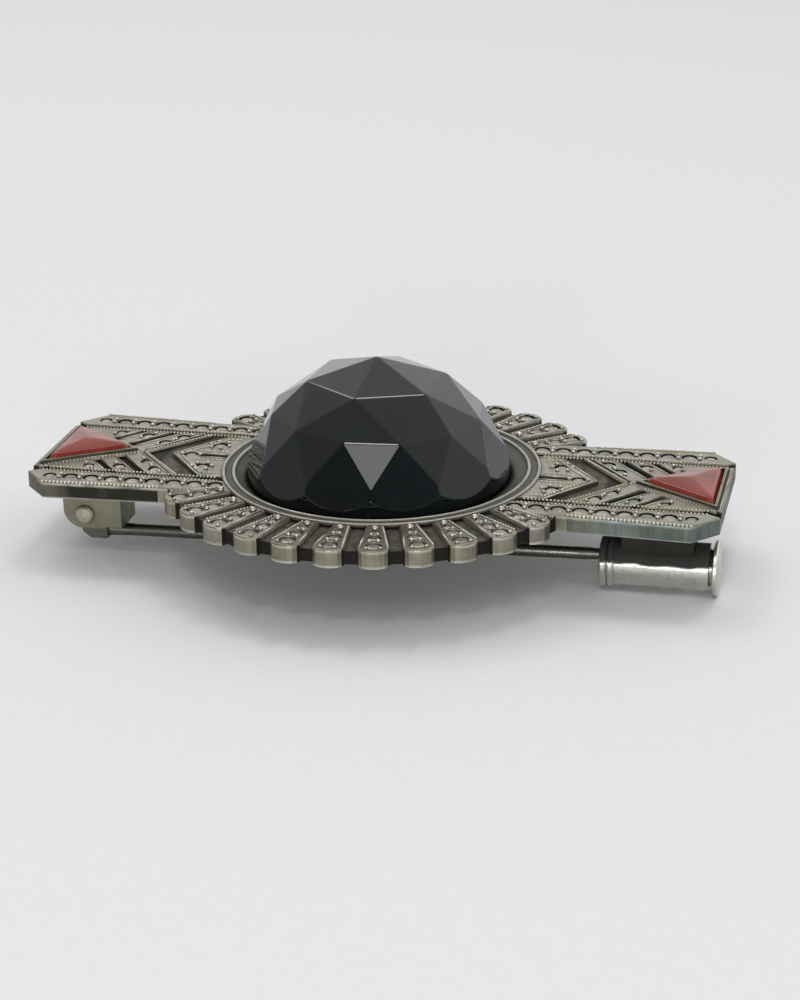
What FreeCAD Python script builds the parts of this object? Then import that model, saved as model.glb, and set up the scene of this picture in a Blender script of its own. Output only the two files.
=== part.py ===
"""Bar brooch with a faceted black stone, two triangular cabochons and marcasite-set arms.

Millimetres. +Z is the face of the brooch, X runs along the bar with the pin hinge at -X and the
catch at +X. z = 0 is the underside of the thumb disc, the lowest point of the brooch.
"""
import FreeCAD
import Part
import math
import os

Vec = FreeCAD.Vector
os.makedirs("parts", exist_ok=True)

# ---- driving dimensions -------------------------------------------------------------------
LENGTH = 56.0                 # whole bar, end to end
FACE_Z = 7.1                  # top of the raised metal relief
PLATE_T = 1.35                # thickness of the cast plate
RELIEF = 0.3                  # depth of the grooves in the plate's face
ARM_START_HALF = 7.9          # half-width of an arm where it leaves the medallion
ARM_START_X = 15.6
ARM_END_HALF = 8.4            # half-width of an arm just before its clipped corner
END_EDGE_HALF = 6.2           # half-width of the straight end edge
CLIP_LENGTH = 2.0             # length of the clipped corner along the bar
DISC_R = 17.4                 # medallion radius at the notches between rays
RAY_TIP_R = 18.15             # medallion radius at the ray tips
RAY_PITCH = 11.25             # degrees between rays
RAYS_PER_SIDE = 11
RAY_TIP_HALF = 1.2            # half-width of a ray's rounded tip
LOBE_DEPTH = 0.8              # how far the rounding of a ray's tip reaches inwards
RAY_ROOT_HALF = 0.66          # half-width of a ray where it meets the bezel
CHAMFER = 0.09                # worn edge of everything that stands up from the plate
OPENING_R = 12.15             # hole in the plate that takes the bezel cup
CUP_R = 11.8                  # mouth of the bezel cup
CUP_FLOOR_T = 0.4             # ledge under the black stone
CUP_HOLE_R = 7.5              # open back of the bezel cup
RING_R = 12.95                # outer edge of the bezel flange
STONE_R = 10.6                # girdle of the black stone
STONE_X = -0.2                # the stone sits a little off the middle of its cup
FACET_RING_R = 10.3           # corners of the black stone's lowest facets
STONE_H = 9.37                # apex of the black stone above the plate's face
BORDER_Y = 5.48               # inner edge of the set border strips
FIELD_Y = 5.02                # outer edge of the inner field
CROSS_X = 20.1                # where the ribbons cross
RIBBON_START_X = 15.9
RIBBON_HALF = 0.24
TIP_X = 17.7                  # point of the arrowhead
BORDER_STONES = 9
PIN_Y = -4.4                  # the pin lies towards one long edge
CATCH_Z = 2.22                # axis of the catch tube
THUMB_R = 2.22
RIVET_X = -23.4
RIVET_Z = 3.58
WIRE_R = 0.5
WIRE_START = (-21.9, 1.83)    # x, z where the wire leaves the knuckle
WIRE_SLOPE = 0.0218           # the wire climbs this much per mm towards the catch
WIRE_TIP_X = 23.6
ROOT_R = 0.56                 # the wire is a little thicker where it leaves the knuckle
ROOT_LENGTH = 2.2
POINT_LENGTH = 6.0            # tapered stretch that ends in the point
TUBE_X = (18.7, 27.2)
TUBE_R = 1.9
TUBE_BORE_R = 1.62
NECK_BORE_R = 1.47
NECK_LENGTH = 0.8
SLEEVE_R = 1.40
SLEEVE_BORE_R = 1.15
STOP_RING_R = 1.55
STOP_RING_LENGTH = 0.5
SLOT_HALF = 0.8               # half-width of the slot under the catch tube

HALF = LENGTH / 2
FLOOR_Z = FACE_Z - RELIEF
BACK_Z = FACE_Z - PLATE_T
UP = Vec(0, 0, 1)
ALONG_X = Vec(1, 0, 0)
ALONG_Y = Vec(0, 1, 0)


# ---- helpers --------------------------------------------------------------------------------
def prism(points, z_low, z_high):
    """Upright prism on a closed outline of (x, y) points."""
    corners = [Vec(x, y, z_low) for x, y in points]
    face = Part.Face(Part.makePolygon(corners + corners[:1]))
    return face.extrude(Vec(0, 0, z_high - z_low))


def raised(points, chamfer=CHAMFER):
    """Part of the relief: it is rooted in the plate and has softened top edges."""
    block = prism(points, FLOOR_Z - 0.05, FACE_Z)
    top_edges = [edge for edge in block.Edges if edge.BoundBox.ZMin > FACE_Z - 0.01]
    return block.makeChamfer(chamfer, top_edges)


def cylinder(radius, start, direction, length):
    return Part.makeCylinder(radius, length, start, direction)


def box(x_span, y_span, z_span):
    size = [high - low for low, high in (x_span, y_span, z_span)]
    return Part.makeBox(*size, Vec(x_span[0], y_span[0], z_span[0]))


def polar(radius, degrees):
    angle = math.radians(degrees)
    return radius * math.cos(angle), radius * math.sin(angle)


def turned(profile, centre=Vec(0, 0, 0), axis=UP):
    """Ring or cup from a closed (radius, height) outline, turned about +Z and then laid on axis."""
    corners = [Vec(r, 0, h) for r, h in profile]
    face = Part.Face(Part.makePolygon(corners + corners[:1]))
    solid = face.revolve(Vec(0, 0, 0), UP, 360)
    solid.Placement = FreeCAD.Placement(centre, FreeCAD.Rotation(UP, axis))
    return solid


def mirrored(points, x_sign, y_sign=1):
    return [(x_sign * x, y_sign * y) for x, y in points]


def joined(first, others):
    return first.fuse(others).removeSplitter()


def write(name, shapes):
    solids = shapes if isinstance(shapes, list) else [shapes]
    whole = solids[0] if len(solids) == 1 else Part.makeCompound(solids)
    whole.exportStep("parts/" + name + ".step")
    box_now = whole.BoundBox
    print("%-26s solids %3d  valid %s  x %.2f..%.2f  y %.2f..%.2f  z %.2f..%.2f" % (
        name, len(whole.Solids), whole.isValid(), box_now.XMin, box_now.XMax,
        box_now.YMin, box_now.YMax, box_now.ZMin, box_now.ZMax))


# ---- layout of the face ---------------------------------------------------------------------
def edge_half(x):
    """Half-width of an arm at distance x from the middle."""
    clip_x = HALF - CLIP_LENGTH
    return ARM_START_HALF + (ARM_END_HALF - ARM_START_HALF) * (x - ARM_START_X) / (clip_x - ARM_START_X)


def ray_angles(side):
    """Directions of the rays, side is -1 for the front half and +1 for the rear half."""
    middle = (RAYS_PER_SIDE - 1) / 2
    return [side * 90 + (k - middle) * RAY_PITCH for k in range(RAYS_PER_SIDE)]


def arm_outline(x_sign):
    half = [(8.0, ARM_START_HALF), (ARM_START_X, ARM_START_HALF), (HALF - CLIP_LENGTH, ARM_END_HALF),
            (HALF, END_EDGE_HALF)]
    back = [(x, -y) for x, y in reversed(half)]
    return mirrored(half + back, x_sign)


def ray(degrees):
    """One ray: a strip that widens outwards and ends in a rounded lobe past the edge of the disc."""
    lobe = []
    for k in range(9):
        angle = math.radians(-90 + 22.5 * k)
        lobe.append((RAY_TIP_R - LOBE_DEPTH + LOBE_DEPTH * math.cos(angle), RAY_TIP_HALF * math.sin(angle)))
    strip = raised([(RING_R - 0.3, RAY_ROOT_HALF), (RING_R - 0.3, -RAY_ROOT_HALF)] + lobe)
    foot = prism([(DISC_R - 1.2, RAY_TIP_HALF - 0.12), (DISC_R - 1.2, 0.12 - RAY_TIP_HALF)] + lobe,
                 BACK_Z - 0.1, FACE_Z - 2 * CHAMFER)
    whole = joined(strip, [foot])
    whole.rotate(Vec(0, 0, 0), UP, degrees)
    return whole


def border_strip(x_sign, y_sign):
    """Raised strip along one long edge of an arm, which holds the border row of marcasites."""
    outline = [(10.6, BORDER_Y), (HALF - 0.9, BORDER_Y), (HALF, END_EDGE_HALF - 0.1), (HALF, END_EDGE_HALF),
               (HALF - CLIP_LENGTH, ARM_END_HALF), (ARM_START_X, ARM_START_HALF), (10.6, ARM_START_HALF)]
    return raised(mirrored(outline, x_sign, y_sign))


def stripe(x_low, x_high, x_sign, y_sign):
    """Raised stripe parallel to the ribbon, x_low and x_high are where it meets the field's edge."""
    lean = (CROSS_X - RIBBON_START_X) / FIELD_Y
    slope = (FIELD_Y - 0.1) / (HALF - 0.35 - CROSS_X)

    def foot(x_top):
        # the stripe's line x = x_top + lean * (FIELD_Y - y) meets the stone's border line here
        y = slope * (x_top + lean * FIELD_Y - CROSS_X) / (1 + slope * lean)
        return x_top + lean * (FIELD_Y - y), y

    outline = [(x_low, FIELD_Y), (x_high, FIELD_Y), foot(x_high), foot(x_low)]
    return raised(mirrored(outline, x_sign, y_sign))


def bar(start, end, x_sign, y_sign):
    """Narrow raised ribbon between two points."""
    run = math.hypot(end[0] - start[0], end[1] - start[1])
    nx = -(end[1] - start[1]) / run * RIBBON_HALF
    ny = (end[0] - start[0]) / run * RIBBON_HALF
    outline = [(start[0] + nx, start[1] + ny), (end[0] + nx, end[1] + ny),
               (end[0] - nx, end[1] - ny), (start[0] - nx, start[1] - ny)]
    return raised(mirrored(outline, x_sign, y_sign), 0.13)


def arm_relief(x_sign):
    """Everything that stands up from one arm's floor."""
    relief = []
    for y_sign in (-1, 1):
        relief.append(border_strip(x_sign, y_sign))
        lobe = [(11.6, 0.3), (15.2, 0.3), (15.5, 0.0), (TIP_X, 0.0), (14.0, FIELD_Y - 0.3), (11.6, FIELD_Y - 0.3)]
        relief.append(prism(mirrored(lobe, x_sign, y_sign), FLOOR_Z - 0.05, FACE_Z))
        relief.append(bar((RIBBON_START_X, FIELD_Y), (CROSS_X, 0), x_sign, y_sign))
        relief.append(bar((CROSS_X, 0), (HALF - 0.35, FIELD_Y - 0.1), x_sign, y_sign))
        for x_low, x_high in ((16.3, 18.3), (19.2, 21.0), (21.7, 26.6)):
            relief.append(stripe(x_low, x_high, x_sign, y_sign))
    pad = [(CROSS_X, 0), (HALF - 0.35, FIELD_Y - 0.1), (HALF, FIELD_Y), (HALF, -FIELD_Y), (HALF - 0.35, 0.1 - FIELD_Y)]
    relief.append(prism(mirrored(pad, x_sign), FLOOR_Z - 0.05, FACE_Z))
    return relief


# ---- marcasites -------------------------------------------------------------------------------
def ray_seats(side):
    seats = []
    for degrees in ray_angles(side):
        for radius, size in ((16.95, 0.66), (15.4, 0.54), (14.2, 0.38)):
            seats.append((*polar(radius, degrees), size))
    return seats


def border_seats(x_sign):
    seats = []
    first, last = 12.1, 25.9
    for k in range(BORDER_STONES):
        x = first + (last - first) * k / (BORDER_STONES - 1)
        y = (BORDER_Y + edge_half(x) - 0.25) / 2
        size = 0.62 if k < BORDER_STONES - 1 else 0.5
        seats += [(x_sign * x, -y, size), (x_sign * x, y, size)]
    return seats


def field_seats(x_sign):
    seats = [(x_sign * 16.1, 0.0, 0.55)]
    for x, y, size in ((14.4, 2.55, 0.62), (17.95, 3.85, 0.58), (19.1, 2.35, 0.55), (21.05, 3.75, 0.52),
                       (23.55, 4.1, 0.42)):
        seats += [(x_sign * x, -y, size), (x_sign * x, y, size)]
    return seats


def marcasite(x, y, size):
    """Six-sided stone with a low crown and a flat table, sunk in its seat."""
    seat_z = FACE_Z - 0.45
    girdle_z = FACE_Z - 0.2
    top_z = FACE_Z + 0.04
    corners = [Vec(x + size * math.cos(math.radians(60 * k + 30)),
                   y + size * math.sin(math.radians(60 * k + 30)), seat_z) for k in range(6)]
    base = Part.Face(Part.makePolygon(corners + corners[:1])).extrude(Vec(0, 0, girdle_z - seat_z))
    rim = [Vec(c.x, c.y, girdle_z) for c in corners]
    table = [Vec(x + (c.x - x) * 0.5, y + (c.y - y) * 0.5, top_z) for c in rim]
    faces = [Part.Face(Part.makePolygon(rim + rim[:1])), Part.Face(Part.makePolygon(table + table[:1]))]
    for k in range(6):
        ring = [rim[k - 1], rim[k], table[k], table[k - 1]]
        faces.append(Part.Face(Part.makePolygon(ring + ring[:1])))
    crown = Part.makeSolid(Part.makeShell(faces))
    return joined(base, [crown])


# ---- face pieces ------------------------------------------------------------------------------
def make_face_plate(seats):
    slab = cylinder(DISC_R, Vec(0, 0, BACK_Z), UP, FLOOR_Z - BACK_Z)
    parts = [prism(arm_outline(sign), BACK_Z, FLOOR_Z) for sign in (-1, 1)]
    for side in (-1, 1):
        parts += [ray(degrees) for degrees in ray_angles(side)]
    for sign in (-1, 1):
        parts += arm_relief(sign)
    plate = joined(slab, parts)
    opening = cylinder(OPENING_R, Vec(0, 0, BACK_Z - 1), UP, PLATE_T + 2)
    flange_seat = turned([(OPENING_R - 1, FLOOR_Z), (RING_R + 0.01, FLOOR_Z), (RING_R + 0.01, FACE_Z + 1),
                          (OPENING_R - 1, FACE_Z + 1)])
    holes = [cylinder(size + 0.03, Vec(x, y, FACE_Z - 0.45), UP, 2) for x, y, size in seats]
    for sign in (-1, 1):
        holes.append(prism(stone_outline(sign, 0.22), FACE_Z - 0.6, FACE_Z + 1))
    return plate.cut([opening, flange_seat] + holes)


def stone_outline(x_sign, grow=0.0):
    """Triangle of an arm's cabochon, its point towards the medallion."""
    return mirrored([(21.2 - 2.2 * grow, 0), (27.35 + grow, 4.15 + 1.75 * grow),
                     (27.35 + grow, -4.15 - 1.75 * grow)], x_sign)


def make_cabochon(x_sign):
    """Triangular stone with a hipped, softened top."""
    base_z = FACE_Z - 0.6
    edge_z = FACE_Z + 0.1
    low = stone_outline(x_sign)
    peak = Vec(x_sign * 25.6, 0, FACE_Z + 0.95)
    body = prism(low, base_z, edge_z)
    rim = [Vec(x, y, edge_z) for x, y in low]
    faces = [Part.Face(Part.makePolygon(rim + rim[:1]))]
    for k in range(3):
        ring = [rim[k - 1], rim[k], peak]
        faces.append(Part.Face(Part.makePolygon(ring + ring[:1])))
    roof = Part.makeSolid(Part.makeShell(faces))
    stone = joined(body, [roof])
    ridges = [edge for edge in stone.Edges if abs(edge.BoundBox.ZMax - peak.z) < 0.01]
    return stone.makeFillet(0.5, ridges)


def make_collet(x_sign):
    """Thin wall round a triangular cabochon."""
    outer = prism(stone_outline(x_sign, 0.22), FACE_Z - 0.6, FACE_Z + 0.28)
    inner = prism(stone_outline(x_sign), FACE_Z - 1, FACE_Z + 1)
    return outer.cut(inner)


def make_bezel():
    """Flange with two raised lines, and the cup below it whose wall slopes in to the black stone."""
    wall_foot_r = STONE_R - 0.4
    ring = turned([(CUP_HOLE_R, BACK_Z), (OPENING_R, BACK_Z), (OPENING_R, FLOOR_Z), (RING_R, FLOOR_Z),
                   (RING_R, FACE_Z + 0.12), (RING_R - 0.22, FACE_Z + 0.12), (RING_R - 0.4, FACE_Z - 0.02),
                   (CUP_R + 0.42, FACE_Z - 0.02), (CUP_R + 0.24, FACE_Z + 0.14), (CUP_R, FACE_Z + 0.14),
                   (wall_foot_r, FACE_Z - 0.8), (CUP_HOLE_R, FACE_Z - 0.8)])
    seat = cylinder(STONE_R + 0.05, Vec(STONE_X, 0, BACK_Z + CUP_FLOOR_T), UP, PLATE_T)
    return ring.cut(seat)


def make_centre_stone():
    """Rose-cut dome: a round girdle with the facets cut off it one plane at a time."""
    seat_z = BACK_Z + CUP_FLOOR_T
    blank = cylinder(STONE_R, Vec(0, 0, seat_z), UP, FACE_Z + STONE_H - seat_z)
    apex = Vec(0, 0, FACE_Z + STONE_H)
    turn = 25.0

    def ring(radius, height, count, offset):
        step = 360 / count
        return [Vec(*polar(radius, turn + offset + k * step), FACE_Z + height) for k in range(count)]

    inner = ring(5.7, 7.66, 6, 0)
    middle = ring(8.65, 5.0, 12, 0)
    outer = ring(FACET_RING_R, 1.75, 12, 15)
    planes = [(apex, inner[k - 1], inner[k]) for k in range(6)]
    planes += [(inner[k - 1], middle[2 * k - 1], inner[k]) for k in range(6)]
    for k in range(6):
        planes.append((inner[k], middle[2 * k - 1], middle[2 * k]))
        planes.append((inner[k], middle[2 * k], middle[(2 * k + 1) % 12]))
    for k in range(12):
        planes.append((middle[k - 1], outer[k - 1], middle[k]))
        planes.append((outer[k - 1], outer[k], middle[k]))
    cutters = []
    for a, b, c in planes:
        normal = (b - a).cross(c - a)
        if normal.z < 0:
            normal = -normal
        cutter = Part.makeBox(40, 40, 20, Vec(-20, -20, 0))
        cutter.Placement = FreeCAD.Placement((a + b + c) / 3, FreeCAD.Rotation(UP, normal))
        cutters.append(cutter)
    stone = blank
    for cutter in cutters:
        stone = stone.cut(cutter)
    stone.translate(Vec(STONE_X, 0, 0))
    return stone


# ---- pin hinge --------------------------------------------------------------------------------
BRACKET_X = (-25.2, -20.3)
BRACKET_Y = (-6.1, -2.7)
SHEET = 0.45                  # thickness of the bracket's sheet
BRACKET_LOW = 2.4


def make_hinge_base():
    return box((-26.0, -19.7), (-6.7, -2.1), (BACK_Z - 0.3, BACK_Z))


def make_hinge_bracket():
    """Folded box, open below and at its outer end, with a stop wall over the pin."""
    top_z = BACK_Z - 0.3
    block = box(BRACKET_X, BRACKET_Y, (BRACKET_LOW, top_z))
    room = box((BRACKET_X[0] - 1, BRACKET_X[1] - SHEET), (BRACKET_Y[0] + SHEET, BRACKET_Y[1] - SHEET),
               (BRACKET_LOW - 1, top_z - 0.4))
    bracket = block.cut(room)
    lower_edges = [edge for edge in bracket.Edges
                   if abs(edge.BoundBox.ZMax - BRACKET_LOW) < 0.01 and abs(edge.BoundBox.XMax - BRACKET_X[0]) < 0.01]
    bracket = bracket.makeFillet(1.6, lower_edges)
    under_wall = box((BRACKET_X[1] - 1.4, BRACKET_X[1] + 1), (BRACKET_Y[0] - 1, BRACKET_Y[1] + 1),
                     (BRACKET_LOW - 1, BRACKET_LOW + 0.15))
    bore = cylinder(0.41, Vec(RIVET_X, BRACKET_Y[0] - 1, RIVET_Z), ALONG_Y, 6)
    return bracket.cut([under_wall, bore])


def make_rivet():
    shank = cylinder(0.40, Vec(RIVET_X, BRACKET_Y[0] - 0.1, RIVET_Z), ALONG_Y, BRACKET_Y[1] - BRACKET_Y[0] + 0.2)
    heads = []
    for y, direction in ((BRACKET_Y[0], Vec(0, -1, 0)), (BRACKET_Y[1], ALONG_Y)):
        heads.append(turned([(0, 0), (0.78, 0), (0.78, 0.14), (0.6, 0.28), (0, 0.34)], Vec(RIVET_X, y, RIVET_Z), direction))
    return joined(shank, heads)


def make_knuckle():
    """Flat eye that turns on the rivet, with a short tail down to the wire."""
    thick = 2.2
    y_low = PIN_Y - thick / 2
    eye = cylinder(1.2, Vec(RIVET_X, y_low, RIVET_Z), ALONG_Y, thick)
    tail = [(RIVET_X - 1.0, RIVET_Z - 0.65), (RIVET_X - 0.55, WIRE_START[1] - 0.15), (RIVET_X + 0.1, WIRE_START[1] - 0.6),
            (WIRE_START[0], WIRE_START[1] - 0.6), (WIRE_START[0], WIRE_START[1] + 0.6),
            (RIVET_X + 0.95, RIVET_Z - 0.72)]
    corners = [Vec(x, y_low + 0.3, z) for x, z in tail]
    web = Part.Face(Part.makePolygon(corners + corners[:1])).extrude(Vec(0, thick - 0.6, 0))
    bore = cylinder(0.45, Vec(RIVET_X, y_low - 1, RIVET_Z), ALONG_Y, thick + 2)
    return joined(eye, [web]).cut(bore)


def make_wire():
    """Straight pin with a root that thickens towards the knuckle and a long tapered point."""
    direction = Vec(1, 0, WIRE_SLOPE)
    start = Vec(WIRE_START[0], PIN_Y, WIRE_START[1])
    length = WIRE_TIP_X - WIRE_START[0]
    profile = [(0, 0), (ROOT_R, 0), (WIRE_R, ROOT_LENGTH),
               (WIRE_R, length - POINT_LENGTH), (0.13, length - 0.15), (0, length)]
    return turned(profile, start, direction)


# ---- trombone catch ---------------------------------------------------------------------------
def on_catch(x):
    return Vec(x, PIN_Y, CATCH_Z)


def slot_below(x_low, x_high):
    return box((x_low, x_high), (PIN_Y - SLOT_HALF, PIN_Y + SLOT_HALF), (CATCH_Z - 3, CATCH_Z))


def make_tube():
    """Outer tube, open along its underside so that the pin can swing out, necked at its outer end."""
    start, end = TUBE_X
    tube = cylinder(TUBE_R, on_catch(start), ALONG_X, end - start)
    bore = cylinder(TUBE_BORE_R, on_catch(start - 1), ALONG_X, end - start + 1 - NECK_LENGTH)
    neck = cylinder(NECK_BORE_R, on_catch(start), ALONG_X, end - start + 1)
    return tube.cut([bore, neck, slot_below(start - 1, WIRE_TIP_X + 1.2)])


def make_entry_collar():
    """Double-beaded ring over the mouth of the tube."""
    start = TUBE_X[0]
    bead = 0.16
    ring = turned([(TUBE_R, 0), (TUBE_R + bead, 0.15), (TUBE_R + bead, 0.45), (TUBE_R + 0.03, 0.6),
                   (TUBE_R + bead, 0.75), (TUBE_R + bead, 1.05), (TUBE_R, 1.2)], on_catch(start), ALONG_X)
    return ring.cut(slot_below(start - 1, start + 3))


def make_catch_base():
    """Saddle that holds the tube off the back of the plate."""
    block = box((20.4, 26.0), (PIN_Y - 1.3, PIN_Y + 1.3), (CATCH_Z + 1.2, BACK_Z))
    return block.cut(cylinder(TUBE_R, on_catch(TUBE_X[0]), ALONG_X, 10))


def make_sleeve():
    """Sliding inner tube: it closes over the pin, and its ring stops it in the neck."""
    start = TUBE_X[0] + 0.2
    body = cylinder(SLEEVE_R, on_catch(start), ALONG_X, TUBE_X[1] + 0.3 - start)
    ring = cylinder(STOP_RING_R, on_catch(start), ALONG_X, STOP_RING_LENGTH)
    bore = cylinder(SLEEVE_BORE_R, on_catch(start - 1), ALONG_X, TUBE_X[1] - start + 0.6)
    return joined(body, [ring]).cut(bore)


def make_thumb_disc():
    return turned([(0, 0), (THUMB_R - 0.1, 0), (THUMB_R, 0.1), (THUMB_R, 0.28), (THUMB_R - 0.15, 0.4), (0, 0.5)],
                  on_catch(TUBE_X[1] + 0.3), ALONG_X)


# ---- build ------------------------------------------------------------------------------------
def main():
    groups = {"marcasites_front_rays": ray_seats(-1), "marcasites_rear_rays": ray_seats(1),
              "marcasites_left_border": border_seats(-1), "marcasites_right_border": border_seats(1),
              "marcasites_left_field": field_seats(-1), "marcasites_right_field": field_seats(1)}
    all_seats = [seat for seats in groups.values() for seat in seats]
    write("face_plate", make_face_plate(all_seats))
    for name, seats in groups.items():
        write(name, [marcasite(*seat) for seat in seats])
    write("centre_bezel", make_bezel())
    write("centre_stone", make_centre_stone())
    for name, sign in (("left", -1), ("right", 1)):
        write(name + "_cabochon", make_cabochon(sign))
        write(name + "_collet", make_collet(sign))
    write("hinge_base", make_hinge_base())
    write("hinge_bracket", make_hinge_bracket())
    write("hinge_rivet", make_rivet())
    write("pin_knuckle", make_knuckle())
    write("pin_wire", make_wire())
    write("catch_base", make_catch_base())
    write("catch_tube", make_tube())
    write("catch_entry_collar", make_entry_collar())
    write("catch_sleeve", make_sleeve())
    write("thumb_disc", make_thumb_disc())


main()
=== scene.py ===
"""Looks of the bar brooch: stones, beads, milgrain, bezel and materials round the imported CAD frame."""
import math
import bmesh
import bpy
from mathutils import Matrix, Vector


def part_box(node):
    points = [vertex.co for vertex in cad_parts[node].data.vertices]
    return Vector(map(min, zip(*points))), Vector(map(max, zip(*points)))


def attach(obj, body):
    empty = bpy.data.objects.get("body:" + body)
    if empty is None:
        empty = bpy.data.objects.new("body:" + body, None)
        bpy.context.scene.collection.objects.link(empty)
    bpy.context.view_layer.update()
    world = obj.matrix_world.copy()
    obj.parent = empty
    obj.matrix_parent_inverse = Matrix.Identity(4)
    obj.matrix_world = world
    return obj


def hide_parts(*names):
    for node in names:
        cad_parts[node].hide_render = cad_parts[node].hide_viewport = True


MM = 0.001
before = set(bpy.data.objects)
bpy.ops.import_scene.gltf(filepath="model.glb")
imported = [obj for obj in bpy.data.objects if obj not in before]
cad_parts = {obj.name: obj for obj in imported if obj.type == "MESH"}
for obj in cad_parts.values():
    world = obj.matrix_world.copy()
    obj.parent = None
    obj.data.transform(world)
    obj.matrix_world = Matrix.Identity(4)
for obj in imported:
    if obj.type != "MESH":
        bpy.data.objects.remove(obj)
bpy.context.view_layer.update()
FACE_BODY = "brooch"              # the body that everything on the face rides on

# ---- places read from the frame (metres) ------------------------------------------------------
plate_low, plate_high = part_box("face_plate")
bezel_low, bezel_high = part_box("centre_bezel")
stone_low, stone_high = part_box("centre_stone")
BACK_Z = plate_low.z
FACE_Z = plate_high.z
HALF_LENGTH = plate_high.x
RAY_TIP_R = plate_high.y
RING_R = bezel_high.x             # outer edge of the bezel flange
STONE_X = (stone_low.x + stone_high.x) / 2
STONE_R = (stone_high.x - stone_low.x) / 2
APEX_Z = stone_high.z

# ---- layout of the face, as in the CAD design (metres) -----------------------------------------
FLOOR_Z = FACE_Z - 0.30 * MM      # floor of the relief
ARM_START_X = 15.6 * MM           # where the arms leave the medallion
ARM_START_HALF = 7.9 * MM         # half-width of an arm there
ARM_END_HALF = 8.4 * MM           # half-width of an arm just before its clipped corner
CLIP_X = HALF_LENGTH - 2.0 * MM   # where the clipped corner begins
BORDER_Y = 5.48 * MM              # inner edge of the set border strips
FIELD_Y = 5.02 * MM               # outer edge of the inner field
CROSS_X = 20.1 * MM               # where the ribbons cross
RIBBON_START_X = 15.9 * MM
ARROW_X = 17.7 * MM               # point of the arrowhead
RAY_ROOT_HALF = 0.66 * MM         # half-width of a ray where it meets the bezel
RAY_TIP_HALF = 1.2 * MM           # half-width of a ray's rounded tip
NOTCH_R = 17.4 * MM               # bottom of the notches between the rays
CUP_R = 11.8 * MM                 # mouth of the bezel cup
CUP_OUT_R = 12.15 * MM
CUP_HOLE_R = 7.5 * MM             # open back of the cup
SEAT_GAP = 0.03 * MM              # the seats are a little wider than the marcasites
GRAIN_Z = FACE_Z - 0.03 * MM      # height of the milgrain's centres


def edge_half(x):
    """Half-width of an arm at distance x from the middle."""
    share = (x - ARM_START_X) / (CLIP_X - ARM_START_X)
    return ARM_START_HALF + (ARM_END_HALF - ARM_START_HALF) * share


# ---- node helpers -------------------------------------------------------------------------------
MIX_SHARE, MIX_A, MIX_B, MIX_COLOUR = 0, 6, 7, 2     # colour sockets of a Mix node


class Nodes:
    """Short way to wire the nodes of a material or of the world."""

    def __init__(self, owner, shader):
        owner.use_nodes = True
        self.owner = owner
        self.tree = owner.node_tree
        self.shader = self.tree.nodes[shader]
        self.places = self.add("TexCoord").outputs

    def add(self, kind, inputs=(), **settings):
        node = self.tree.nodes.new("ShaderNode" + kind)
        for key, value in settings.items():
            setattr(node, key, value)
        for key, value in dict(inputs).items():
            self.feed(node.inputs[key], value)
        return node

    def feed(self, socket, value):
        """Link a socket to a node's output, or set it to a constant."""
        if isinstance(value, bpy.types.NodeSocket):
            self.tree.links.new(value, socket)
        else:
            socket.default_value = value

    def set(self, **values):
        """Feed the shader's sockets and return the finished material or world."""
        for key, value in values.items():
            self.feed(self.shader.inputs[key.replace("_", " ")], value)
        return self.owner

    def math(self, operation, a, b=0.0):
        return self.add("Math", {0: a, 1: b}, operation=operation).outputs[0]

    def times(self, *shares):
        product = shares[0]
        for share in shares[1:]:
            product = self.math("MULTIPLY", product, share)
        return product

    def without(self, share):
        """What is left of one."""
        return self.math("SUBTRACT", 1.0, share)

    def larger(self, a, b):
        return self.math("MAXIMUM", a, b)

    def size_of(self, value):
        return self.math("ABSOLUTE", value)

    def span(self, value, low, high, to_low=0.0, to_high=1.0):
        node = self.add("MapRange", {"Value": value, "From Min": low, "From Max": high,
                                     "To Min": to_low, "To Max": to_high})
        return node.outputs["Result"]

    def vector_math(self, operation, a, b=(0, 0, 0)):
        return self.add("VectorMath", {0: a, 1: b}, operation=operation).outputs

    def split(self, vector):
        """X, Y and Z of a vector."""
        return self.add("SeparateXYZ", {0: vector}).outputs

    def noise(self, scale, detail=2.0, rough=0.5, stretch=None):
        """Noise from 0 to 1 with about scale waves to the metre, drawn out where stretch is small."""
        place = self.places["Object"]
        if stretch:
            place = self.add("Mapping", {"Vector": place, "Scale": stretch}).outputs["Vector"]
        node = self.add("TexNoise", {"Vector": place, "Scale": scale, "Detail": detail, "Roughness": rough})
        return node.outputs["Fac"]

    def openness(self, reach):
        """Low in the recesses, within reach of other surfaces, and 1 on free ones."""
        return self.add("AmbientOcclusion", {"Distance": reach}, samples=8).outputs["AO"]

    def mix(self, share, a, b, blend="MIX"):
        node = self.add("Mix", data_type="RGBA", blend_type=blend)
        self.feed(node.inputs[MIX_SHARE], share)
        self.feed(node.inputs[MIX_A], a)
        self.feed(node.inputs[MIX_B], b)
        return node.outputs[MIX_COLOUR]

    def bump(self, height, strength, distance, normal=None):
        """Fine relief on the mesh's own normal, or on the one given."""
        inputs = {"Height": height, "Strength": strength, "Distance": distance}
        if normal:
            inputs["Normal"] = normal
        return self.add("Bump", inputs).outputs["Normal"]


def new_material(name):
    return Nodes(bpy.data.materials.new(name), "Principled BSDF")


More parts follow.
